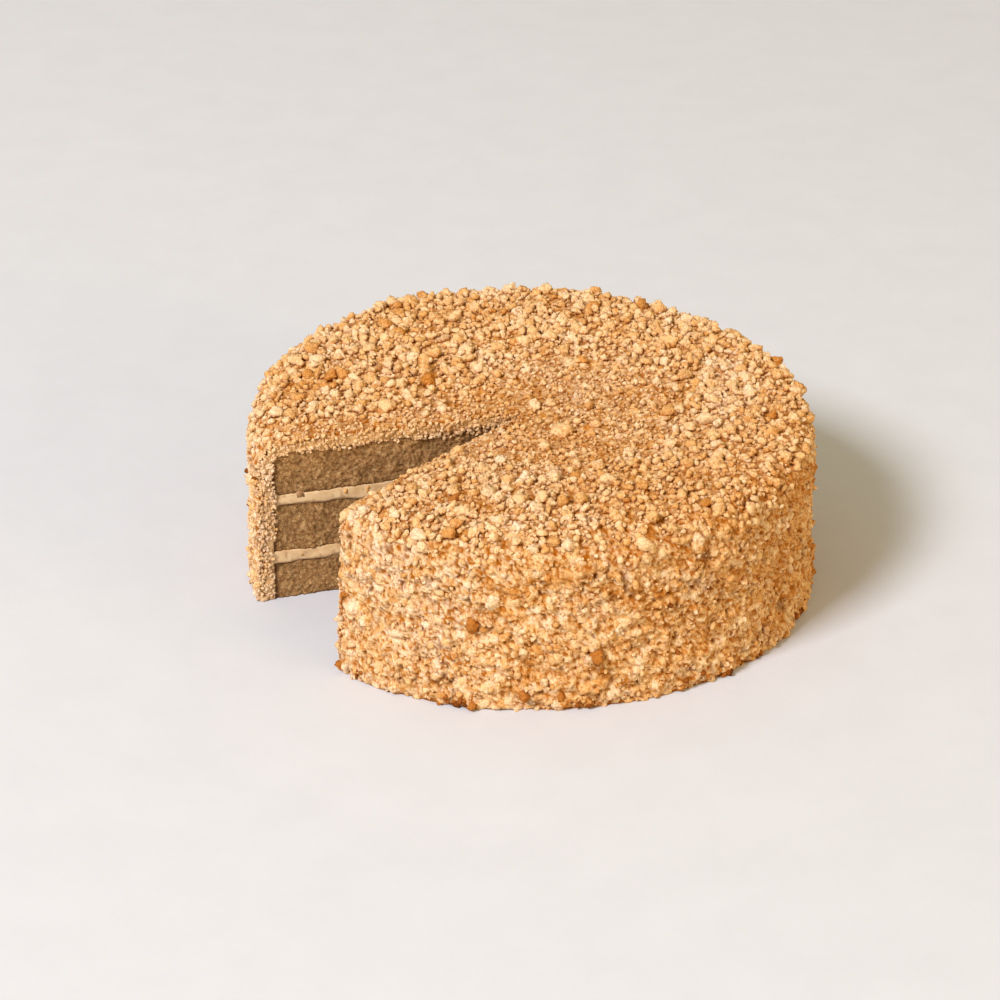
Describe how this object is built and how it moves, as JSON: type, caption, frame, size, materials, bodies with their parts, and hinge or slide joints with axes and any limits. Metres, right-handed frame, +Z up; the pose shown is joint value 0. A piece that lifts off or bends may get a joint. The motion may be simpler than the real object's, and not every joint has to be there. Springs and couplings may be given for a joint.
{
  "type": "caramel cake",
  "caption": "Round caramel layer cake coated in biscuit crumbs, with one slice taken out to show sponge and cream layers.",
  "frame": {"origin": "on the cake's axis, at the middle of its flat underside", "axes": "+Z up along the cake's axis; -Y is the front; the missing slice opens between 18 and 49.5 degrees from -X towards -Y"},
  "size_m": [0.2473, 0.2471, 0.0822],
  "materials": {
    "sponge": "open baked sponge crumb, matte",
    "cream": "soft caramel cream, satin",
    "frosting": "thin spread cream, satin",
    "crumb": "rough golden biscuit crumbs, matte"
  },
  "bodies": {
    "root": {"sponge_bottom": "sponge", "cream_lower": "cream", "sponge_middle": "sponge", "cream_upper": "cream", "sponge_top": "sponge", "frosting": "frosting", "crumb_coat": "crumb"}
  },
  "joints": []
}
